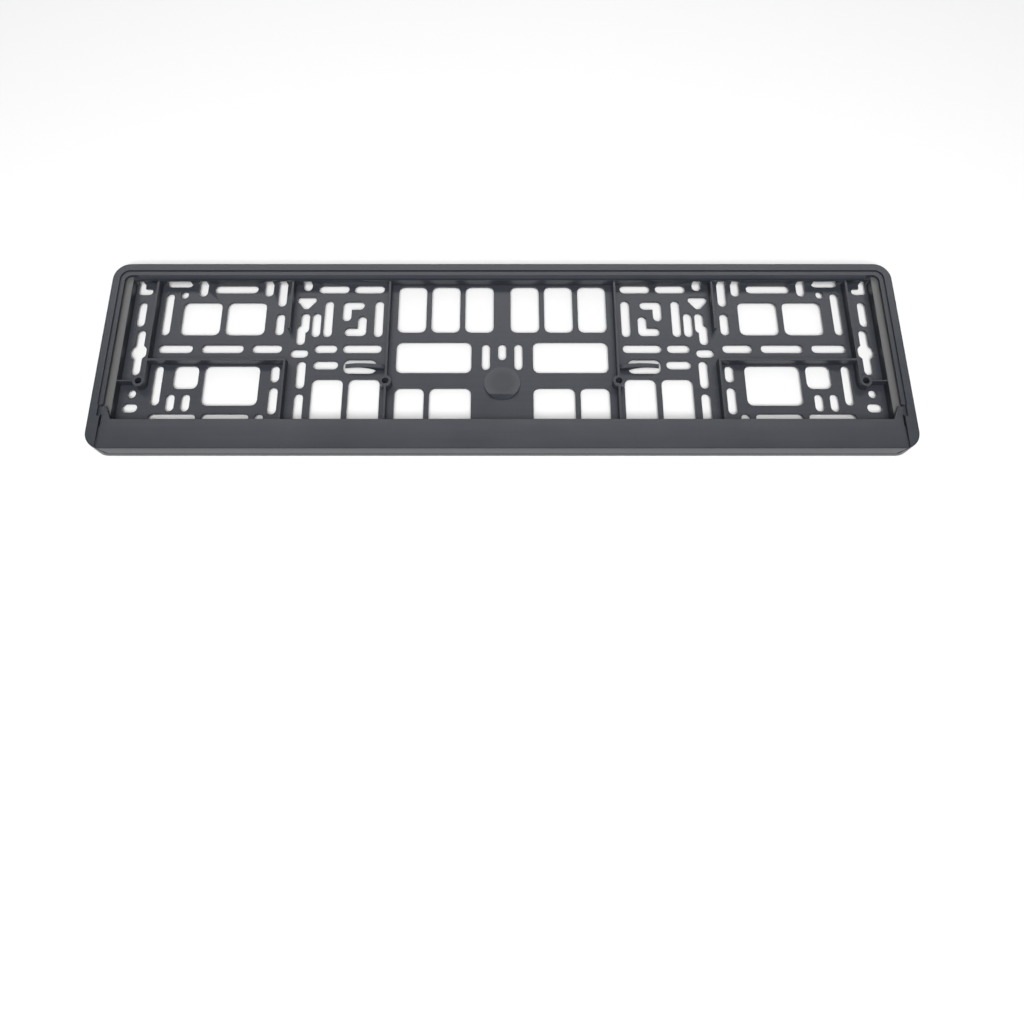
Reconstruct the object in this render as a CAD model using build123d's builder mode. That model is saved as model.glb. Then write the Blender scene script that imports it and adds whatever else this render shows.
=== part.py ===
from build123d import *
from math import cos, radians, sin
import os

# Number plate holder for a long one-line car plate, lying on its back.
# +X runs along the plate, +Y up to the top rail, +Z out of the front, and z = 0 is the back face.
# Heights y are measured up from the lower edge. The right half is drawn first and then mirrored.

# The plate and the room round it
PLATE_LENGTH = 520.0
PLATE_HEIGHT = 110.0
PLATE_PLAY = 0.5

# Rails along the top and both sides
SIDE_RAIL = 7.4
TOP_RAIL = 7.0
RAIL_WALL = 2.2
SIDE_REACH = 1.2
TOP_REACH = 1.9
SIDE_SEAT = 5.8
TOP_SEAT = 4.0
HOOK_REACH = 1.9
HOOK_EDGE = 0.2
HOOK_MARGIN = 4.0
BAND_WIDTH = 5.2
GROOVE_WIDTH = 1.0
GROOVE_DEPTH = 0.8
CORNER_RADIUS = 11.5
WINDOW_CORNER = 4.5
EDGE_RADIUS = 1.0

# Levels, counted from the back face to the front
LIFT = 3.0
BACK = 2.0
SEAT_LEVEL = 12.5
PLATE_SLOT = 2.0
LEDGE = 1.5
BAND_STEP = 0.5

# Lower strip and the sill behind it
SILL_HEIGHT = 15.5
SILL_WALL = 1.8
LIP_HEIGHT = 5.4
STRIP_HEIGHT = 20.0
STRIP_FACE = 2.0
STRIP_WALL = 2.0
STRIP_INSET = 8.9
STRIP_LEAN = 4.0
STRIP_EDGE = 0.5
STRIP_GAP = 0.4
SEAM_GAP = 1.2
HORN_RISE = 8.6
HORN_TIP = 3.0
HORN_SLOPE = 4.2
HORN_STEP = 1.0
HORN_FOOT = 2.0
HORN_GAP = 2.2

# Snap tongues of the strip
TONGUE_COUNT = 6
TONGUE_PITCH = 88.0
TONGUE_WIDTH = 12.0
TONGUE_THICKNESS = 1.8
TONGUE_ROW = 8.0
TONGUE_TIP = 0.6
TONGUE_PLAY = 0.5

# Ribs and screw bosses
RIB = 1.6
THIN_RIB = 1.0
SIDE_COLUMN = 17.4
OUTER_PANEL = 92.1
SECOND_PANEL = 67.9
RIB_JOG = 0.8
BOSS_ROW = 48.0
BOSS_RADIUS = 4.0
BOSS_HOLE_RADIUS = 2.15
SHELF_ROW = 63.2
UPPER_RIB_FOOT = 86.0

# Openings in the back plate
SLOT = 6.2
BAR = 7.0
SLIM_BAR = 5.7
WEB = 3.5
TOP_WEB = 4.5
WINDOW_RADIUS = 4.0
ROUND_STEPS = 3
RIB_MARGIN = 2.7
RIB_BAR = 4.3

# Side column openings
COLUMN_OFFSET = 9.3
COLUMN_SHIFT = 2.1
ELBOW_SLOT = 5.0
ELBOW_LENGTH = 10.5
ELBOW_ROW = 117.5
COLUMN_SLOT = (90.6, 109.5)
KEYHOLE = (54.8, 88.1)
KEYHOLE_ROW = 71.7
KEYHOLE_RADIUS = 5.8
PLUG_HOLE_ROW = 41.3
PLUG_HOLE_RADIUS = 3.0
CROSS_SLOT_ROW = 31.4
CROSS_SLOT_LENGTH = 10.4

# Outer panel openings
CORNER_OPENING = 18.2
TOP_SLOT_DROP = 8.7
SIDE_SLOT_DROP = 16.5
PILOT_RADIUS = 2.8
PILOT_SHIFT = 6.0
SCREW_SLOT_LENGTHS = (23.8, 20.4)
SMALL_WINDOW_WIDTH = 17.0
SMALL_WINDOW_LOW = 44.9
SHORT_SLOT = (28.9, 41.3)
SHORT_SLOT_PITCH = 10.2
LOW_SIDE_SLOT_SPLIT = 47.8

# Second panel openings
PANEL_WIDTH = 45.8
PANEL_MARGIN = 4.5
POST_MARGIN = 8.2
L_ARM = 15.0
L_SHIFT = 1.0
L_LAP = 1.9
HALF_SLOT_HIGH = 101.1
SHORT_SCREW_SLOT = 15.7
GUARD_SLOT_LENGTH = 17.0
WINDOW_HEAD = 52.0
TRIANGLE_WIDTH = 13.2
TRIANGLE_LOW = 104.1
TRIANGLE_HIGH = 113.4
TRIANGLE_BLUNT = 1.4
POST_SLOT_LOW = 118.1
JOG_SLOT = (76.9, 101.1)
JOG = 2.2
GAP_SLOT_LENGTH = 12.3
GAP_SLOT_ROW = 70.7
POST_SLOT_SPLIT = 43.4

# Anti-rattle leaf springs
SPRING_SLOT_LENGTH = 22.4
SPRING_SLOT_HEIGHT = 10.4
SPRING_ROW = 61.1
SPRING_DROP = 1.5
SPRING_WIDTH = 2.8
SPRING_ROOT_LENGTH = 6.0
SPRING_ROOT_LEVEL = 8.2
SPRING_CREST_LEVEL = 11.2
SPRING_TIP_LEVEL = 9.6
SPRING_LEAF = 1.4
SPRING_TIP_GAP = 1.2

# Inner panel openings
INNER_MARGIN = 5.5
CENTRE_POST = 11.6
CENTRE_BLOCK = 41.6
WIDE_WINDOW = (56.4, 79.2)
LOW_WINDOW_HEAD = 45.6
CENTRE_SLOT = 5.5
CENTRE_SLOT_PITCH = 11.0
CENTRE_SLOT_HIGH = 77.7
CENTRE_SLOT_LOW = 58.6
MIDDLE_SLOT_LOW = 65.8

# Raised pad in the middle, rising to a ridge near its lower edge
PAD_ROW = 48.8
PAD_RADIUS = 12.0
PAD_RIDGE = 3.6
PAD_HEIGHT = 2.6

# Sizes that follow from the plate
bay_x = PLATE_LENGTH / 2 + PLATE_PLAY
length = 2 * (bay_x + SIDE_RAIL)
bay_top = SILL_HEIGHT + PLATE_HEIGHT + 2 * PLATE_PLAY
height = bay_top + TOP_RAIL
ledge_x = bay_x - SIDE_REACH
ledge_top = bay_top - TOP_REACH
seat_x = bay_x - SIDE_SEAT
seat_top = bay_top - TOP_SEAT
floor_level = LIFT + BACK
ledge_low = SEAT_LEVEL + PLATE_SLOT
ledge_high = ledge_low + LEDGE
depth = ledge_high + BAND_STEP
strip_x = length / 2 - STRIP_INSET
strip_low = depth - STRIP_FACE
horn_x = strip_x + HORN_STEP
horn_in = horn_x - HORN_TIP
horn_low = STRIP_HEIGHT + HORN_FOOT
horn_high = STRIP_HEIGHT + HORN_RISE
corner_high = horn_high + SEAM_GAP

# Rib lines of the right half
rib_a = seat_x - SIDE_COLUMN
rib_c = rib_a - OUTER_PANEL
rib_c_upper = rib_c - RIB_JOG
inner_boss = rib_c - SECOND_PANEL
outer_boss = rib_a - RIB / 2 + BOSS_RADIUS

# Rows of openings
screw_low = SHELF_ROW + RIB / 2 + BAR
screw_high = screw_low + SLOT
screw_row = (screw_low + screw_high) / 2
top_low = seat_top - SLOT
top_row = (top_low + seat_top) / 2
sill_low = SILL_HEIGHT + SLIM_BAR
sill_high = sill_low + SLOT
sill_row = (sill_low + sill_high) / 2
shelf_low = SHELF_ROW - RIB


def level(z):
    """Drawing plane at height z, with its origin on the middle of the lower edge."""
    return Plane(origin=(0, -height / 2, z))


def inset_outline(distance, mode=Mode.ADD):
    """Outline of the holder, moved inwards."""
    radius = max(CORNER_RADIUS - distance, WINDOW_CORNER)
    with Locations((0, height / 2)):
        RectangleRounded(length - 2 * distance, height - 2 * distance, radius, mode=mode)


def block(x_from, x_to, y_from, y_to, mode=Mode.ADD):
    """Rectangle between two corners."""
    with Locations((x_from, y_from)):
        Rectangle(x_to - x_from, y_to - y_from, align=(Align.MIN, Align.MIN), mode=mode)


def rounded(x_from, x_to, y_from, y_to, radius):
    """Rectangle between two corners, with each corner rounded in a few flat steps."""
    points = []
    for x, y, start in ((x_to - radius, y_to - radius, 0), (x_from + radius, y_to - radius, 90),
                        (x_from + radius, y_from + radius, 180), (x_to - radius, y_from + radius, 270)):
        for step in range(ROUND_STEPS + 1):
            angle = radians(start + 90 * step / ROUND_STEPS)
            points.append((round(x + radius * cos(angle), 6), round(y + radius * sin(angle), 6)))
    Polygon(*dict.fromkeys(points), align=None)


def window(x_from, x_to, y_from, y_to):
    """Rounded window between two corners."""
    rounded(x_from, x_to, y_from, y_to, min(WINDOW_RADIUS, 0.45 * (x_to - x_from), 0.45 * (y_to - y_from)))


def slot_across(x_from, x_to, y, width=SLOT):
    """Round-ended slot along the plate."""
    rounded(x_from, x_to, y - width / 2, y + width / 2, width / 2)


def slot_up(x, y_from, y_to, width=SLOT):
    """Round-ended slot across the plate."""
    rounded(x - width / 2, x + width / 2, y_from, y_to, width / 2)


def screw_slot(x_from, x_to, y):
    """Slot along the plate with fully round ends, for a fixing screw."""
    with Locations(((x_from + x_to) / 2, y)):
        SlotOverall(x_to - x_from, SLOT)


def plain_hole(x, y, radius):
    """Round hole in flat steps."""
    rounded(x - radius, x + radius, y - radius, y + radius, radius)


def round_hole(x, y, radius):
    """Round hole."""
    with Locations((x, y)):
        Circle(radius)


def side_column_openings():
    """Keyhole, slots and holes between the side rail and the outermost rib."""
    column = rib_a + COLUMN_OFFSET
    elbow = seat_x - THIN_RIB
    slot_across(elbow - ELBOW_LENGTH, elbow, ELBOW_ROW, ELBOW_SLOT)
    slot_up(column + COLUMN_SHIFT, COLUMN_SLOT[0], COLUMN_SLOT[1])
    slot_up(column, KEYHOLE[0], KEYHOLE[1])
    plain_hole(column, KEYHOLE_ROW, KEYHOLE_RADIUS)
    plain_hole(column, PLUG_HOLE_ROW, PLUG_HOLE_RADIUS)
    cross = column - CROSS_SLOT_LENGTH / 2
    slot_across(cross, cross + CROSS_SLOT_LENGTH, CROSS_SLOT_ROW)


def outer_panel_openings():
    """Windows of the outer panel, framed by slots, above and below the shelf rib."""
    outer_slot = rib_a - RIB / 2 - RIB_MARGIN - SLOT / 2
    inner_slot = rib_c_upper + RIB / 2 + RIB_BAR + SLOT / 2
    panel_out = outer_slot - SLOT / 2 - BAR
    panel_in = inner_slot + SLOT / 2 + BAR
    window_low = screw_high + BAR
    window_high = top_low - BAR

    pane = (panel_out - panel_in - WEB) / 2
    window(panel_in, panel_in + pane, window_low, window_high)
    window(panel_out - pane, panel_out, window_low, window_high)
    slot_up(outer_slot, window_low, top_low)
    slot_up(inner_slot, window_low, window_high - TOP_SLOT_DROP)
    plain_hole(panel_out - PILOT_RADIUS + PILOT_SHIFT / 2, top_low - PILOT_RADIUS / 2, PILOT_RADIUS)

    top_out = outer_slot + SLOT / 2 - CORNER_OPENING - SLOT - 2 * TOP_WEB
    top_in = inner_slot + 1.5 * SLOT + WEB + TOP_WEB
    slot_across(top_in, top_out, top_row)

    screw_out = outer_slot + SLOT / 2
    screw_in = inner_slot - SLOT / 2
    slot_across(screw_out - SCREW_SLOT_LENGTHS[0], screw_out, screw_row)
    slot_across(screw_in, screw_in + SCREW_SLOT_LENGTHS[1], screw_row)
    screw_slot(screw_in + SCREW_SLOT_LENGTHS[1] + SLIM_BAR,
               screw_out - SCREW_SLOT_LENGTHS[0] - SLIM_BAR, screw_row)

    low_base = sill_high + SLIM_BAR
    slot_up(outer_slot, low_base, shelf_low)
    window(panel_out - SMALL_WINDOW_WIDTH, panel_out, SMALL_WINDOW_LOW, shelf_low)
    window(panel_in, panel_out - SMALL_WINDOW_WIDTH - WEB, low_base, shelf_low)
    slot_up(panel_out, SHORT_SLOT[0], SHORT_SLOT[1])
    slot_up(panel_out - SHORT_SLOT_PITCH, SHORT_SLOT[0], SHORT_SLOT[1])
    slot_up(inner_slot, LOW_SIDE_SLOT_SPLIT + WEB / 2, shelf_low)
    slot_up(inner_slot, sill_low + SLIM_BAR, LOW_SIDE_SLOT_SPLIT - WEB / 2)

    sill_out = rib_a - RIB / 2 - RIB_MARGIN
    sill_in = inner_slot + SLOT / 2 + WEB / 2
    plain_hole(sill_in + SLOT / 2, sill_row, SLOT / 2)
    share = (sill_out - sill_in - SLOT - 2 * WEB) / 2
    slot_across(sill_in + SLOT + WEB, sill_in + SLOT + WEB + share, sill_row)
    slot_across(sill_out - share, sill_out, sill_row)


def second_panel_openings():
    """Slots, corner pieces and spring slot between the jogged rib and the inner boss."""
    near = inner_boss + PANEL_MARGIN
    far = near + PANEL_WIDTH
    post = rib_c_upper - RIB / 2 - POST_MARGIN
    half = (PANEL_WIDTH - WEB) / 2
    slot_low = screw_high + SLIM_BAR
    slot_high = top_low - SLIM_BAR

    for start in (near, far - half):
        slot_across(start, start + half, top_row)
        window(start, start + half, SILL_HEIGHT + WEB, WINDOW_HEAD)
    slot_up(near + SLOT / 2, slot_low, slot_high)
    slot_up(far - SLOT - WEB / 2, slot_low, slot_high)
    slot_up(far, slot_low, HALF_SLOT_HIGH)

    middle = (slot_low + slot_high) / 2
    l_centre = (near + far - SLOT) / 2
    l_high = middle + L_ARM - L_LAP
    l_low = middle - L_ARM + L_LAP
    slot_across(l_centre + L_SHIFT - L_ARM / 2, l_centre + L_SHIFT + L_ARM / 2, l_high - SLOT / 2)
    slot_up(l_centre + L_SHIFT + L_ARM / 2 - SLOT / 2, l_high - L_ARM, l_high)
    slot_across(l_centre - L_SHIFT - L_ARM / 2, l_centre - L_SHIFT + L_ARM / 2, l_low + SLOT / 2)
    slot_up(l_centre - L_SHIFT - L_ARM / 2 + SLOT / 2, l_low, l_low + L_ARM)

    slot_across(far - SHORT_SCREW_SLOT, far, screw_row)
    slot_across(near, far - SHORT_SCREW_SLOT - WEB, screw_row)
    slot_across(far - GUARD_SLOT_LENGTH, far, SPRING_ROW + SLOT / 6)
    spring_end = far - GUARD_SLOT_LENGTH - WEB
    window(spring_end - SPRING_SLOT_LENGTH, spring_end,
           SPRING_ROW - SPRING_SLOT_HEIGHT / 2, SPRING_ROW + SPRING_SLOT_HEIGHT / 2)

    side = TRIANGLE_WIDTH / 2
    flat = side - TRIANGLE_BLUNT
    Polygon((post - flat, TRIANGLE_HIGH), (post - side, TRIANGLE_HIGH - TRIANGLE_BLUNT),
            (post - side, TRIANGLE_HIGH - WEB), (post - TRIANGLE_BLUNT, TRIANGLE_LOW),
            (post + TRIANGLE_BLUNT, TRIANGLE_LOW), (post + side, TRIANGLE_HIGH - WEB),
            (post + side, TRIANGLE_HIGH - TRIANGLE_BLUNT), (post + flat, TRIANGLE_HIGH), align=None)
    jog_middle = (JOG_SLOT[0] + JOG_SLOT[1]) / 2
    slot_up(post, jog_middle - SLOT / 2, JOG_SLOT[1])
    slot_up(post + JOG, JOG_SLOT[0], jog_middle + SLOT / 2)
    gap_slot = post + JOG - GAP_SLOT_LENGTH / 2
    slot_across(gap_slot, gap_slot + GAP_SLOT_LENGTH, GAP_SLOT_ROW)
    slot_up(post, POST_SLOT_SPLIT + WEB / 2, shelf_low + WEB)
    slot_up(post, sill_low, POST_SLOT_SPLIT - WEB / 2)


def inner_panel_openings():
    """Windows beside the middle, and the slots above the raised pad."""
    near = CENTRE_POST / 2
    far = inner_boss - INNER_MARGIN
    pane = (far - near - 2 * WEB) / 3
    for place in range(3):
        start = near + place * (pane + WEB)
        window(start, start + pane, WIDE_WINDOW[1] + BAR, seat_top - THIN_RIB)
    window(CENTRE_BLOCK / 2, far, WIDE_WINDOW[0], WIDE_WINDOW[1])
    window(far - pane, far, SILL_HEIGHT + WEB, LOW_WINDOW_HEAD)
    window(CENTRE_BLOCK / 2, far - pane - WEB, SILL_HEIGHT + WEB, LOW_WINDOW_HEAD)
    slot_up(CENTRE_SLOT_PITCH, CENTRE_SLOT_LOW, CENTRE_SLOT_HIGH, CENTRE_SLOT)


def top_openings():
    """Openings under the top ledge, which run on into the hollow of the rail."""
    outer_slot = rib_a - RIB / 2 - RIB_MARGIN
    inner_slot = rib_c_upper + RIB / 2 + RIB_BAR
    elbow = seat_x - THIN_RIB
    post = rib_c_upper - RIB / 2 - POST_MARGIN
    first = outer_slot - CORNER_OPENING
    second = first - TOP_WEB - SLOT / 2
    hidden = bay_top + SLOT / 2
    slot_up(elbow - ELBOW_SLOT / 2, ELBOW_ROW - ELBOW_SLOT / 2, hidden, ELBOW_SLOT)
    rounded(first, outer_slot, seat_top - RIB, hidden, SLOT / 2)
    slot_up(second, seat_top - TOP_SLOT_DROP, hidden)
    slot_up(inner_slot + SLOT / 2, seat_top - SIDE_SLOT_DROP, hidden)
    slot_up(inner_slot + 1.5 * SLOT + WEB, seat_top - TOP_SLOT_DROP, hidden)
    slot_up(post, POST_SLOT_LOW, hidden)


def rib_lines():
    """Ribs and bosses of the right half, seen from the front."""
    block(rib_a - RIB / 2, rib_a + RIB / 2, BOSS_ROW, bay_top)
    block(rib_c - RIB / 2, rib_c + RIB / 2, SILL_HEIGHT - SILL_WALL, SHELF_ROW)
    block(rib_c_upper - RIB / 2, rib_c_upper + RIB / 2, UPPER_RIB_FOOT, bay_top)
    block(inner_boss - RIB / 2, inner_boss + RIB / 2, SILL_HEIGHT - SILL_WALL, bay_top)
    block(rib_c - RIB / 2, rib_a, SHELF_ROW - RIB / 2, SHELF_ROW + RIB / 2)
    block(outer_boss, bay_x, BOSS_ROW - THIN_RIB / 2, BOSS_ROW + THIN_RIB / 2)
    round_hole(inner_boss, BOSS_ROW, BOSS_RADIUS)
    round_hole(outer_boss, BOSS_ROW, BOSS_RADIUS)


def strip_outline():
    """Front of the strip with a stepped horn at each end, cut to the rounded corners of the holder."""
    right = [(strip_x, 0), (strip_x, horn_low), (horn_x, horn_low + HORN_STEP), (horn_x, horn_high),
             (horn_in, horn_high), (horn_in - HORN_SLOPE, STRIP_HEIGHT)]
    Polygon(*right, *[(-x, y) for x, y in reversed(right)], align=None)
    inset_outline(0, mode=Mode.INTERSECT)


def strip_depth(gap, mode=Mode.ADD):
    """Lower wall of the strip seen along the plate's height: its ends lean inwards towards the back."""
    head = strip_x + gap
    foot = head - STRIP_LEAN
    Polygon((-foot, LIP_HEIGHT), (foot, LIP_HEIGHT), (head, depth), (-head, depth), align=None, mode=mode)


with BuildPart() as pad:
    # Round pad that rises from its upper edge to a ridge and falls steeply to its lower edge
    with BuildSketch(level(floor_level)):
        round_hole(0, PAD_ROW, PAD_RADIUS)
    extrude(amount=PAD_HEIGHT)
    with BuildSketch(Plane.YZ.offset(-PAD_RADIUS)):
        with Locations((PAD_ROW - height / 2, floor_level)):
            Polygon((-PAD_RADIUS, 0), (PAD_RADIUS, 0), (PAD_RIDGE - PAD_RADIUS, PAD_HEIGHT), align=None)
    extrude(amount=2 * PAD_RADIUS, mode=Mode.INTERSECT)

with BuildPart() as base_frame:
    # Outer block with rounded corners and a softened front edge
    with BuildSketch(level(0)):
        inset_outline(0)
    extrude(amount=depth)
    fillet(base_frame.faces().sort_by(Axis.Z)[-1].edges(), EDGE_RADIUS)

    # Step down from the outer band to the ledge, with a groove at its foot, both above the lower corners
    with BuildSketch(level(ledge_high)):
        inset_outline(BAND_WIDTH)
        block(-length / 2, length / 2, corner_high, height, mode=Mode.INTERSECT)
    extrude(amount=BAND_STEP, mode=Mode.SUBTRACT)
    with BuildSketch(level(ledge_high)):
        inset_outline(BAND_WIDTH)
        inset_outline(BAND_WIDTH + GROOVE_WIDTH, mode=Mode.SUBTRACT)
        block(-length / 2, length / 2, corner_high, height, mode=Mode.INTERSECT)
    extrude(amount=-GROOVE_DEPTH, mode=Mode.SUBTRACT)

    # Window inside the ledge, slot for the plate's edge and well behind the plate
    with BuildSketch(level(ledge_low)):
        with Locations((0, ledge_top)):
            RectangleRounded(2 * ledge_x, 2 * PLATE_HEIGHT, WINDOW_CORNER, align=(Align.CENTER, Align.MAX))
    extrude(amount=depth - ledge_low, mode=Mode.SUBTRACT)
    with BuildSketch(level(SEAT_LEVEL)):
        block(-bay_x, bay_x, SILL_HEIGHT, bay_top)
    extrude(amount=PLATE_SLOT, mode=Mode.SUBTRACT)
    with BuildSketch(level(floor_level)):
        block(-seat_x, seat_x, SILL_HEIGHT, seat_top)
    extrude(amount=SEAT_LEVEL - floor_level, mode=Mode.SUBTRACT)

    # Hook along the top ledge that slopes down over the plate's upper edge
    with BuildSketch(Plane.YZ.offset(-seat_x + HOOK_MARGIN)):
        with Locations((-height / 2, 0)):
            Polygon((ledge_top + HOOK_EDGE, ledge_low), (ledge_top - HOOK_REACH, ledge_low),
                    (ledge_top - HOOK_REACH, ledge_low + HOOK_EDGE), (ledge_top, ledge_high),
                    (ledge_top + HOOK_EDGE, ledge_high), align=None)
    extrude(amount=2 * (seat_x - HOOK_MARGIN))

    # Room for the strip: its front, its horns and the space below the sill
    with BuildSketch(level(ledge_low)):
        block(-strip_x - SEAM_GAP, strip_x + SEAM_GAP, -STRIP_GAP, horn_low)
        block(-horn_x - HORN_GAP, horn_x + HORN_GAP, horn_low, corner_high)
    extrude(amount=depth - ledge_low, mode=Mode.SUBTRACT)
    with BuildSketch(Plane.XZ.offset(height / 2 - SILL_HEIGHT + SILL_WALL)):
        strip_depth(SEAM_GAP)
    extrude(amount=SILL_HEIGHT, mode=Mode.SUBTRACT)
    with BuildSketch(level(BACK)):
        block(STRIP_LEAN - strip_x, strip_x - STRIP_LEAN, STRIP_WALL, SILL_HEIGHT - SILL_WALL)
    extrude(amount=LIP_HEIGHT - BACK, mode=Mode.SUBTRACT)

    # Recess under the back plate and hollow of the rails, both open at the back
    with BuildSketch(level(0)):
        block(-seat_x - RAIL_WALL, seat_x + RAIL_WALL, SILL_HEIGHT, seat_top + RAIL_WALL)
    extrude(amount=LIFT, mode=Mode.SUBTRACT)
    with BuildSketch(level(0)):
        inset_outline(RAIL_WALL)
        block(-seat_x - RAIL_WALL, seat_x + RAIL_WALL, 0, seat_top + RAIL_WALL, mode=Mode.SUBTRACT)
        block(-length / 2, length / 2, 0, horn_high, mode=Mode.SUBTRACT)
    extrude(amount=SEAT_LEVEL - BACK, mode=Mode.SUBTRACT)

    # Openings of the back plate
    with BuildSketch(level(LIFT)):
        side_column_openings()
        outer_panel_openings()
        second_panel_openings()
        inner_panel_openings()
        mirror(about=Plane.YZ)
        slot_up(0, MIDDLE_SLOT_LOW, CENTRE_SLOT_HIGH, CENTRE_SLOT)
    extrude(amount=BACK, mode=Mode.SUBTRACT)
    with BuildSketch(level(LIFT)):
        top_openings()
        mirror(about=Plane.YZ)
    extrude(amount=SEAT_LEVEL - BACK - LIFT, mode=Mode.SUBTRACT)
    with BuildSketch(level(0)):
        with Locations((0, TONGUE_ROW)):
            with GridLocations(TONGUE_PITCH, 0, TONGUE_COUNT, 1):
                Rectangle(TONGUE_WIDTH + 2 * TONGUE_PLAY, TONGUE_THICKNESS + 2 * TONGUE_PLAY)
    extrude(amount=BACK, mode=Mode.SUBTRACT)

    # Ribs that carry the plate, and the screw bosses
    with BuildSketch(level(floor_level)):
        rib_lines()
        mirror(about=Plane.YZ)
    extrude(amount=SEAT_LEVEL - floor_level)
    with BuildSketch(level(0)):
        for x in (inner_boss, outer_boss):
            round_hole(x, BOSS_ROW, BOSS_HOLE_RADIUS)
        mirror(about=Plane.YZ)
    extrude(amount=SEAT_LEVEL, mode=Mode.SUBTRACT)

    # Leaf springs that keep the plate from rattling
    leaf_root = inner_boss + PANEL_MARGIN - SPRING_ROOT_LENGTH / 2
    leaf_start = leaf_root + SPRING_ROOT_LENGTH
    leaf_end = leaf_start + SPRING_SLOT_LENGTH - 2 * SPRING_TIP_GAP
    leaf_middle = (leaf_start + leaf_end) / 2
    with BuildSketch(Plane.XZ.offset(height / 2 - SPRING_ROW + SPRING_DROP)):
        with BuildLine():
            Line((leaf_root, floor_level - BACK / 2), (leaf_root, SPRING_ROOT_LEVEL))
            ThreePointArc((leaf_root, SPRING_ROOT_LEVEL), (leaf_middle, SPRING_CREST_LEVEL),
                          (leaf_end, SPRING_TIP_LEVEL))
            Line((leaf_end, SPRING_TIP_LEVEL), (leaf_end, SPRING_TIP_LEVEL - SPRING_LEAF))
            ThreePointArc((leaf_end, SPRING_TIP_LEVEL - SPRING_LEAF),
                          (leaf_middle, SPRING_CREST_LEVEL - SPRING_LEAF), (leaf_start, floor_level))
            Line((leaf_start, floor_level), (leaf_start, floor_level - BACK / 2))
            Line((leaf_start, floor_level - BACK / 2), (leaf_root, floor_level - BACK / 2))
        make_face()
        mirror(about=Plane.YZ)
    extrude(amount=SPRING_WIDTH / 2, both=True)

    # Raised pad in the middle of the back plate
    add(pad.part)

with BuildPart() as clip_strip:
    # Strip with a horn at each end, as deep as its lower wall, which ends above the lip
    with BuildSketch(level(LIP_HEIGHT + STRIP_GAP)):
        strip_outline()
    extrude(amount=depth - LIP_HEIGHT - STRIP_GAP)
    chamfer(clip_strip.faces().sort_by(Axis.Z)[-1].edges(), STRIP_EDGE)

    # Leaning ends of the lower wall
    with BuildSketch(Plane.XZ.offset(height / 2 - horn_low)):
        with Locations((0, LIP_HEIGHT)):
            Rectangle(length, depth - LIP_HEIGHT, align=(Align.CENTER, Align.MIN))
        strip_depth(0, mode=Mode.SUBTRACT)
    extrude(amount=horn_low + STRIP_GAP, mode=Mode.SUBTRACT)

    # Hollow behind the front face and above the lower wall
    with BuildSketch(level(LIP_HEIGHT + STRIP_GAP)):
        block(-length / 2, length / 2, STRIP_WALL, height)
    extrude(amount=strip_low - LIP_HEIGHT - STRIP_GAP, mode=Mode.SUBTRACT)

    # Snap tongues that reach through the back plate
    with BuildSketch(level(TONGUE_TIP)):
        with Locations((0, TONGUE_ROW)):
            with GridLocations(TONGUE_PITCH, 0, TONGUE_COUNT, 1):
                Rectangle(TONGUE_WIDTH, TONGUE_THICKNESS)
    extrude(amount=strip_low - TONGUE_TIP)

os.makedirs("parts", exist_ok=True)
base_frame.part.label = "base_frame"
clip_strip.part.label = "clip_strip"
for piece in (base_frame, clip_strip):
    export_step(piece.part, f"parts/{piece.part.label}.step")
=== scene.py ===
# %% [markdown]
# # A number plate holder
# The holder is two plastic mouldings: a slotted back plate with a raised rail on three sides, and a strip that clips
# along the lower edge once the plate is in. Both come from the CAD model with their final shape, so this lesson
# gives them soft edges, a moulded finish, a table to lie on, light and a camera. All lengths are in metres.

# %% Load the frame
import math

import bpy
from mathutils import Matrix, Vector


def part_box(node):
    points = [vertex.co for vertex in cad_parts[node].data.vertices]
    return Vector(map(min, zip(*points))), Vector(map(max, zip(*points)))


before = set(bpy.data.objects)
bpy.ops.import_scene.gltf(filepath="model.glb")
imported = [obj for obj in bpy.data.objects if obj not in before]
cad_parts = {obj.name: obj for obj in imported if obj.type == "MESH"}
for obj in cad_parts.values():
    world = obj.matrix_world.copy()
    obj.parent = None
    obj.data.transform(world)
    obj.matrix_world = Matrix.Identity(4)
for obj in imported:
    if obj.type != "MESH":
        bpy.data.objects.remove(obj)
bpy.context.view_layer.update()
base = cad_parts["base_frame"]
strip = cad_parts["clip_strip"]
bpy.ops.object.select_all(action="DESELECT")
for node in (base, strip):
    low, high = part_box(node.name)
    size = [round(1000 * (b - a), 1) for a, b in zip(low, high)]
    print(node.name, "size in mm", size, "triangles", len(node.data.polygons))

# %% [markdown]
# ## Which edges are soft
# A mould never gives a knife edge: steel corners wear and plastic shrinks, so each rim of a real moulding catches a
# thin line of light. The edges could be picked one by one in edit mode, but the mesh of a CAD node is not to be
# touched, so a small group of Geometry Nodes does it live. It gives a bevel weight to each outer edge that turns by
# more than 60 degrees, so the small steps in the ends of the slots stay as they are. The signed angle tells outer
# edges from inner corners. Those are left alone, because with both kinds rounded the two mouldings touched at rest.
# So is the round pad in the middle, whose wall runs out to nothing, where a bevel would fold over. All sharp edges
# without a weight are marked as sharp.

# %% Node helpers
def math_node(nodes, operation, *constants):
    node = nodes.new("ShaderNodeMath")
    node.operation = operation
    for socket, value in constants:
        node.inputs[socket].default_value = value
    return node


def distance_node(nodes, point):
    node = nodes.new("ShaderNodeVectorMath")
    node.operation = "DISTANCE"
    node.inputs[1].default_value = point
    return node


def store_node(nodes, kind, name):
    node = nodes.new("GeometryNodeStoreNamedAttribute")
    node.data_type = kind
    node.domain = "EDGE"
    node.inputs["Name"].default_value = name
    return node


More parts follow.
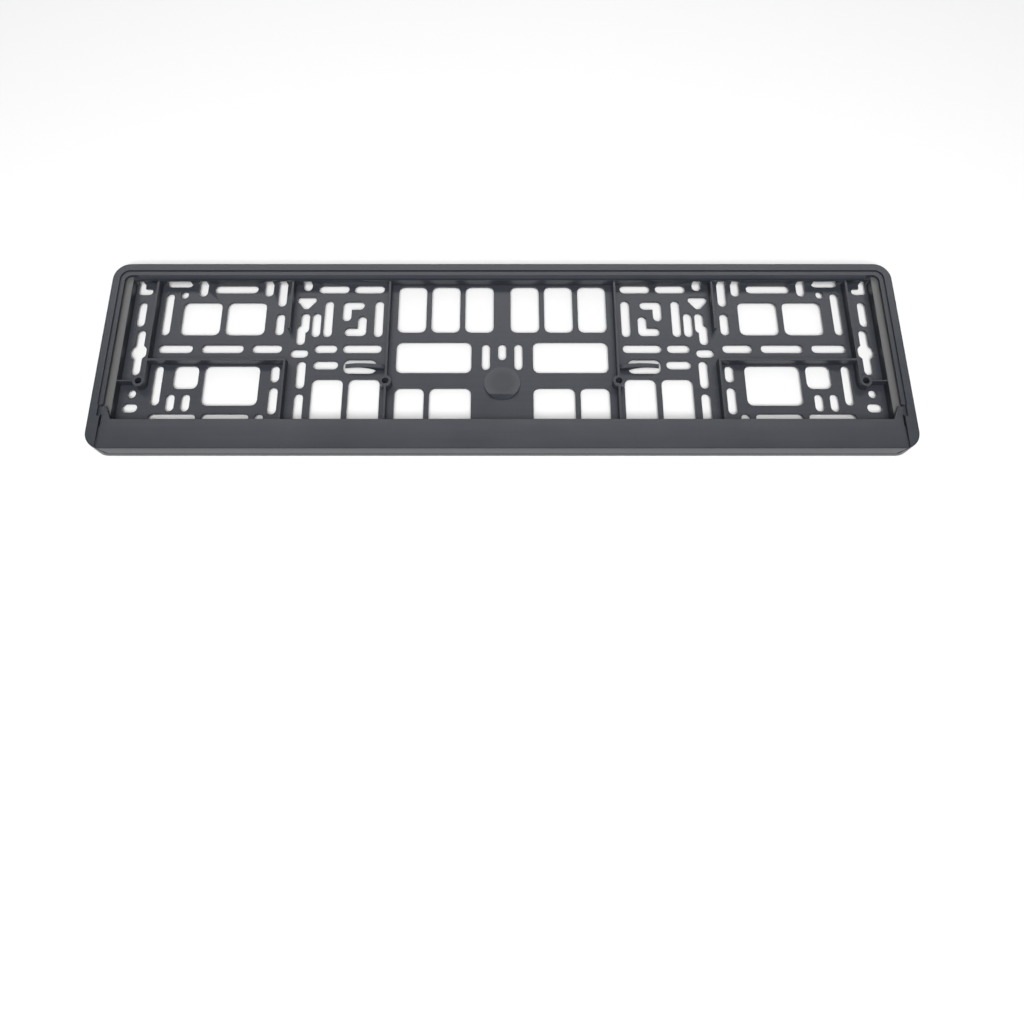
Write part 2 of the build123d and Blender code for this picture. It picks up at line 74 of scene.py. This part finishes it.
# %% Pick the edges
EDGE_ANGLE = math.radians(60)
PAD_CENTRE = (0.0, -0.0180, 0.0065)
PAD_REACH = 0.0130
picker = bpy.data.node_groups.new("pick_edges", "GeometryNodeTree")
for side in ("INPUT", "OUTPUT"):
    picker.interface.new_socket("Geometry", in_out=side, socket_type="NodeSocketGeometry")
nodes, links = picker.nodes, picker.links
turn = nodes.new("GeometryNodeInputMeshEdgeAngle")
sharp = math_node(nodes, "GREATER_THAN", (1, EDGE_ANGLE))
links.new(turn.outputs["Unsigned Angle"], sharp.inputs[0])
outer = math_node(nodes, "GREATER_THAN", (1, EDGE_ANGLE))
links.new(turn.outputs["Signed Angle"], outer.inputs[0])
place = nodes.new("GeometryNodeInputPosition")
from_pad = distance_node(nodes, PAD_CENTRE)
links.new(place.outputs["Position"], from_pad.inputs[0])
off_pad = math_node(nodes, "GREATER_THAN", (1, PAD_REACH))
links.new(from_pad.outputs["Value"], off_pad.inputs[0])
print("nodes that look at each edge", len(nodes))

# %% Store the choice
soft = math_node(nodes, "MULTIPLY")
links.new(outer.outputs["Value"], soft.inputs[0])
links.new(off_pad.outputs["Value"], soft.inputs[1])
crisp = math_node(nodes, "GREATER_THAN")
links.new(sharp.outputs["Value"], crisp.inputs[0])
links.new(soft.outputs["Value"], crisp.inputs[1])
smooth = nodes.new("GeometryNodeSetShadeSmooth")
weigh = store_node(nodes, "FLOAT", "bevel_weight_edge")
links.new(soft.outputs["Value"], weigh.inputs["Value"])
mark = store_node(nodes, "BOOLEAN", "sharp_edge")
links.new(crisp.outputs["Value"], mark.inputs["Value"])
chain = [nodes.new("NodeGroupInput"), smooth, weigh, mark, nodes.new("NodeGroupOutput")]
for step, follower in zip(chain, chain[1:]):
    links.new(step.outputs[0], follower.inputs[0])
print("group", picker.name, "nodes", len(nodes))

# %% [markdown]
# ## Soft moulded edges
# The rest is a stack of modifiers. Weld joins the loose triangles, a planar Decimate turns flat areas back into
# single faces, the group picks the edges, and Bevel rounds those with a weight. A second Weld closes the slivers that
# Bevel leaves where many edges meet, and Weighted Normal keeps the flat areas flat in the shading.

# %% Round the edges with modifiers
JOIN_REACH = 0.000001
FLAT_ANGLE = math.radians(1)
EDGE_ROUND = 0.00015
SLIVER_REACH = 0.000003


def soften_edges(node):
    weld = node.modifiers.new("join_triangles", "WELD")
    weld.merge_threshold = JOIN_REACH
    flat = node.modifiers.new("flat_areas", "DECIMATE")
    flat.decimate_type = "DISSOLVE"
    flat.angle_limit = FLAT_ANGLE
    pick = node.modifiers.new("pick_edges", "NODES")
    pick.node_group = picker
    edge = node.modifiers.new("moulded_edge", "BEVEL")
    edge.width = EDGE_ROUND
    edge.segments = 2
    edge.limit_method = "WEIGHT"
    edge.use_clamp_overlap = False
    clean = node.modifiers.new("join_slivers", "WELD")
    clean.merge_threshold = SLIVER_REACH
    normal = node.modifiers.new("even_shading", "WEIGHTED_NORMAL")
    normal.keep_sharp = True


for node in (base, strip):
    soften_edges(node)
    shown = node.evaluated_get(bpy.context.evaluated_depsgraph_get())
    mesh = shown.to_mesh()
    mesh.calc_loop_triangles()
    print(node.name, "triangles with soft edges", len(mesh.loop_triangles))
    shown.to_mesh_clear()

# %% [markdown]
# ## Grain of the mould
# The satin look of such plastic is a fine grain that is etched into the mould. It is much too small to model, so it
# is a bump. Two noises make it: one of about half a millimetre for the grain, and one of a few centimetres for the
# cloudy tone that flowing plastic leaves. Both mouldings use it, so it is a node group with its own inputs.

# %% Grain group
grain = bpy.data.node_groups.new("moulded_grain", "ShaderNodeTree")
for name, side in (("Grain Scale", "INPUT"), ("Cloud Scale", "INPUT"), ("Cloud", "OUTPUT"), ("Height", "OUTPUT")):
    grain.interface.new_socket(name, in_out=side, socket_type="NodeSocketFloat")
group_in = grain.nodes.new("NodeGroupInput")
group_out = grain.nodes.new("NodeGroupOutput")
place = grain.nodes.new("ShaderNodeTexCoord")
for scale, detail, roughness, result in (("Grain Scale", 3.0, 0.6, "Height"), ("Cloud Scale", 4.0, 0.55, "Cloud")):
    noise = grain.nodes.new("ShaderNodeTexNoise")
    noise.inputs["Detail"].default_value = detail
    noise.inputs["Roughness"].default_value = roughness
    grain.links.new(place.outputs["Object"], noise.inputs["Vector"])
    grain.links.new(group_in.outputs[scale], noise.inputs["Scale"])
    grain.links.new(noise.outputs["Fac"], group_out.inputs[result])
print("group", grain.name, "nodes", len(grain.nodes))

# %% [markdown]
# ## Flow streaks
# Plastic that fills a long thin mould leaves faint streaks along its way. They could be painted, but a noise that a
# Mapping node stretches along the plate has no seams and fits both mouldings.

# %% Streak group
STREAK_STRETCH = (14.0, 420.0, 420.0)
streaks = bpy.data.node_groups.new("flow_streaks", "ShaderNodeTree")
streaks.interface.new_socket("Streak", in_out="OUTPUT", socket_type="NodeSocketFloat")
group_out = streaks.nodes.new("NodeGroupOutput")
place = streaks.nodes.new("ShaderNodeTexCoord")
stretch = streaks.nodes.new("ShaderNodeMapping")
stretch.inputs["Scale"].default_value = STREAK_STRETCH
noise = streaks.nodes.new("ShaderNodeTexNoise")
noise.inputs["Scale"].default_value = 1.0
noise.inputs["Detail"].default_value = 3.0
streaks.links.new(place.outputs["Object"], stretch.inputs["Vector"])
streaks.links.new(stretch.outputs["Vector"], noise.inputs["Vector"])
streaks.links.new(noise.outputs["Fac"], group_out.inputs["Streak"])
print("group", streaks.name, "nodes", len(streaks.nodes))

# %% [markdown]
# ## Plastic of both mouldings
# Both are the same dark grey polypropylene with a touch of blue. A ramp turns the cloudy tone and the streaks into
# two close greys, a second range varies the gloss a little, and the grain goes into a bump. The strip comes from a
# smoother mould than the back plate, so it mirrors a little more.

# %% Plastic helpers
def group_node(nodes, tree):
    node = nodes.new("ShaderNodeGroup")
    node.node_tree = tree
    return node


def ramp_node(nodes, low, high, at_low=0.0, at_high=1.0):
    node = nodes.new("ShaderNodeMapRange")
    for name, value in (("From Min", low), ("From Max", high), ("To Min", at_low), ("To Max", at_high)):
        node.inputs[name].default_value = value
    return node


# %% Plastic material
GRAIN_SCALE = 1600.0
GRAIN_DEPTH = 0.0001
GRAIN_STRENGTH = 0.25
CLOUD_SCALE = 28.0
STREAK_SHARE = 0.4
TONE_LOW, TONE_HIGH = 0.3, 0.7


def plastic(name, dark, light, gloss, mirror):
    material = bpy.data.materials.new(name)
    material.use_nodes = True
    nodes, links = material.node_tree.nodes, material.node_tree.links
    shader = nodes["Principled BSDF"]
    shader.inputs["Specular IOR Level"].default_value = mirror
    skin = group_node(nodes, grain)
    skin.inputs["Grain Scale"].default_value = GRAIN_SCALE
    skin.inputs["Cloud Scale"].default_value = CLOUD_SCALE
    flow = group_node(nodes, streaks)
    blend = nodes.new("ShaderNodeMix")
    blend.inputs["Factor"].default_value = STREAK_SHARE
    links.new(skin.outputs["Cloud"], blend.inputs["A"])
    links.new(flow.outputs["Streak"], blend.inputs["B"])
    tint = nodes.new("ShaderNodeValToRGB")
    for stop, position, tone in zip(tint.color_ramp.elements, (TONE_LOW, TONE_HIGH), (dark, light)):
        stop.position = position
        stop.color = (*tone, 1.0)
    links.new(blend.outputs["Result"], tint.inputs["Fac"])
    links.new(tint.outputs["Color"], shader.inputs["Base Color"])
    sheen = ramp_node(nodes, TONE_LOW, TONE_HIGH, *gloss)
    links.new(blend.outputs["Result"], sheen.inputs["Value"])
    links.new(sheen.outputs["Result"], shader.inputs["Roughness"])
    bump = nodes.new("ShaderNodeBump")
    bump.inputs["Strength"].default_value = GRAIN_STRENGTH
    bump.inputs["Distance"].default_value = GRAIN_DEPTH
    links.new(skin.outputs["Height"], bump.inputs["Height"])
    links.new(bump.outputs["Normal"], shader.inputs["Normal"])
    return material


# %% Give each moulding its plastic
FRAME_DARK = (0.0262, 0.0288, 0.0358)
FRAME_LIGHT = (0.0354, 0.0386, 0.0466)
FRAME_GLOSS = (0.33, 0.41)
FRAME_MIRROR = 0.22
STRIP_DARK = (0.0186, 0.0210, 0.0272)
STRIP_LIGHT = (0.0264, 0.0293, 0.0362)
STRIP_GLOSS = (0.31, 0.37)
STRIP_MIRROR = 0.36
frame_plastic = plastic("frame_plastic", FRAME_DARK, FRAME_LIGHT, FRAME_GLOSS, FRAME_MIRROR)
strip_plastic = plastic("strip_plastic", STRIP_DARK, STRIP_LIGHT, STRIP_GLOSS, STRIP_MIRROR)
for node, material in ((base, frame_plastic), (strip, strip_plastic)):
    for slot in node.material_slots:
        slot.material = material
    print(node.name, "finish", [slot.material.name for slot in node.material_slots])

# %% [markdown]
# ## Painted sheen on the seats and painted shade on the pad
# The ends of the plate lie on a narrow seat at each side, and the plastic there is painted pale and less blue as a
# painted sheen. The round pad in the middle presses on the back of the plate, and the middle of its face is painted
# dark as painted shade. Both could be pieces of their own, but only the tone differs, so a mask picks each by its
# place:
# the seats by how far out, how high and how far along they are, and the pad by the distance from its centre. Each
# mask is mixed in between the ramp and the shader, and only in the plastic of the back plate.

# %% Painted light patch helper
# Mixes a flat tone into the plastic colour under a mask; here it carries the painted sheen and the painted shade.
def painted_light_patch(material, mask, tone):
    nodes, links = material.node_tree.nodes, material.node_tree.links
    into = nodes["Principled BSDF"].inputs["Base Color"]
    mix = nodes.new("ShaderNodeMix")
    mix.data_type = "RGBA"
    links.new(into.links[0].from_socket, mix.inputs["A"])
    mix.inputs["B"].default_value = (*tone, 1.0)
    links.new(mask, mix.inputs["Factor"])
    links.new(mix.outputs["Result"], into)
    print("painted light patch in", material.name, "tone", tone)


# %% Paint sheen on the seats
SEAT_INNER = 0.2547
SEAT_FADE = 0.0004
SEAT_OUTER = 0.2602
SEAT_LEVEL = 0.0125
LEVEL_REACH = 0.0006
SEAT_MIDDLE = 0.0037
SEAT_HALF = 0.0545
# Painted sheen: the pale, less blue tone of the side seats stands in for light that they catch.
PAINTED_SEAT_SHEEN = (0.096, 0.098, 0.096)
nodes, links = frame_plastic.node_tree.nodes, frame_plastic.node_tree.links
place = nodes.new("ShaderNodeTexCoord")
axes = nodes.new("ShaderNodeSeparateXYZ")
links.new(place.outputs["Object"], axes.inputs["Vector"])
outward = math_node(nodes, "ABSOLUTE")
links.new(axes.outputs["X"], outward.inputs[0])
past_edge = ramp_node(nodes, SEAT_INNER, SEAT_INNER + SEAT_FADE)
links.new(outward.outputs["Value"], past_edge.inputs["Value"])
before_wall = math_node(nodes, "LESS_THAN", (1, SEAT_OUTER))
links.new(outward.outputs["Value"], before_wall.inputs[0])
at_level = math_node(nodes, "COMPARE", (1, SEAT_LEVEL), (2, LEVEL_REACH))
links.new(axes.outputs["Z"], at_level.inputs[0])
along = math_node(nodes, "COMPARE", (1, SEAT_MIDDLE), (2, SEAT_HALF))
links.new(axes.outputs["Y"], along.inputs[0])
on_seat = past_edge.outputs["Result"]
for limit in (before_wall, at_level, along):
    both = math_node(nodes, "MULTIPLY")
    links.new(on_seat, both.inputs[0])
    links.new(limit.outputs["Value"], both.inputs[1])
    on_seat = both.outputs["Value"]
# Mixes the painted sheen into the seats.
painted_light_patch(frame_plastic, on_seat, PAINTED_SEAT_SHEEN)

# %% Paint shade on the pad
PLATE_TOP = 0.0052
DARK_RADIUS = 0.006
CLEAR_RADIUS = 0.011
PAD_SHADE_AMOUNT = 0.65
# Painted shade: a darker tone on the middle of the pad's raised face.
PAINTED_PAD_SHADE = (0.0130, 0.0150, 0.0205)
from_pad = distance_node(nodes, PAD_CENTRE)
links.new(place.outputs["Object"], from_pad.inputs[0])
near_centre = ramp_node(nodes, DARK_RADIUS, CLEAR_RADIUS, PAD_SHADE_AMOUNT, 0.0)
links.new(from_pad.outputs["Value"], near_centre.inputs["Value"])
above_plate = math_node(nodes, "GREATER_THAN", (1, PLATE_TOP))
links.new(axes.outputs["Z"], above_plate.inputs[0])
on_pad = math_node(nodes, "MULTIPLY")
links.new(near_centre.outputs["Result"], on_pad.inputs[0])
links.new(above_plate.outputs["Value"], on_pad.inputs[1])
# Mixes the painted shade into the pad.
painted_light_patch(frame_plastic, on_pad.outputs["Value"], PAINTED_PAD_SHADE)

# %% [markdown]
# ## The table
# The holder lies on a plain white table. A large plane at the height of its back is enough.

# %% Table
TABLE_SIZE = 4.4
TABLE_WHITE = (0.78, 0.78, 0.78, 1.0)
TABLE_ROUGHNESS = 0.8
bpy.ops.mesh.primitive_plane_add(size=TABLE_SIZE, location=(0, 0, 0))
table = bpy.context.object
table.name = "white_table"
white = bpy.data.materials.new("table_white")
white.use_nodes = True
shader = white.node_tree.nodes["Principled BSDF"]
shader.inputs["Base Color"].default_value = TABLE_WHITE
shader.inputs["Roughness"].default_value = TABLE_ROUGHNESS
table.data.materials.append(white)
print("table", table.name)

# %% [markdown]
# ## Light
# The picture has a white table with hardly a shadow, dark walls in the wells, a front that is lighter than the flat
# plastic, and flat plastic that gets brighter towards the top rail. A soft box high up in front gives the first two.
# The front is lit by the room, whose walls are brighter than its ceiling. The last comes from a bright card that the
# satin plastic mirrors. In a studio the card stands behind the object and flags keep its light off the table. Here
# each light simply says whether it reaches dull surfaces and whether it is mirrored.

# %% Room
WALL_LIGHT = 0.9
CEILING_LIGHT = 0.3
CEILING_RISE = 0.6
room = bpy.data.worlds.new("white_room")
room.use_nodes = True
nodes, links = room.node_tree.nodes, room.node_tree.links
background = nodes["Background"]
background.inputs["Color"].default_value = (1.0, 1.0, 1.0, 1.0)
place = nodes.new("ShaderNodeTexCoord")
axes = nodes.new("ShaderNodeSeparateXYZ")
links.new(place.outputs["Object"], axes.inputs["Vector"])
walls = ramp_node(nodes, 0.0, CEILING_RISE, WALL_LIGHT, CEILING_LIGHT)
links.new(axes.outputs["Z"], walls.inputs["Value"])
links.new(walls.outputs["Result"], background.inputs["Strength"])
bpy.context.scene.world = room
bpy.context.scene.view_settings.view_transform = "Standard"
print("room", room.name, "light of walls and ceiling", WALL_LIGHT, CEILING_LIGHT)


# %% Soft box and card
def studio_light(name, place, size, energy, lights_table, is_mirrored):
    bpy.ops.object.light_add(type="AREA", location=place)
    light = bpy.context.object
    light.name = name
    light.data.shape = "RECTANGLE"
    light.data.size, light.data.size_y = size
    light.data.energy = energy
    light.visible_diffuse = lights_table
    light.visible_glossy = is_mirrored
    light.rotation_euler = (-Vector(place)).to_track_quat("-Z", "Y").to_euler()
    print("light", name, "watts", energy)


studio_light("soft_box", (0.0, -0.7, 1.62), (0.9, 0.9), 39.0, lights_table=True, is_mirrored=False)
studio_light("back_card", (0.0, 1.02, 1.58), (2.6, 0.35), 31.0, lights_table=False, is_mirrored=True)

# %% [markdown]
# ## Camera
# The picture looks down at the holder from the front at about 67 degrees. The camera stands in front of the lower
# edge, and its lens shift puts the holder into the upper half of the square frame, as turning it would change the
# perspective.

# %% Camera
CAMERA_PLACE = (0.0, -0.2470, 0.5864)
CAMERA_TILT = math.radians(22.94)
bpy.ops.object.camera_add(location=CAMERA_PLACE, rotation=(CAMERA_TILT, 0.0, 0.0))
camera = bpy.context.object
camera.data.sensor_width = 36.0
camera.data.lens = 32.87
camera.data.shift_x = 0.0096
camera.data.shift_y = -0.1484
bpy.context.scene.camera = camera
print("camera", [round(v, 3) for v in camera.location], "lens", round(camera.data.lens, 2))
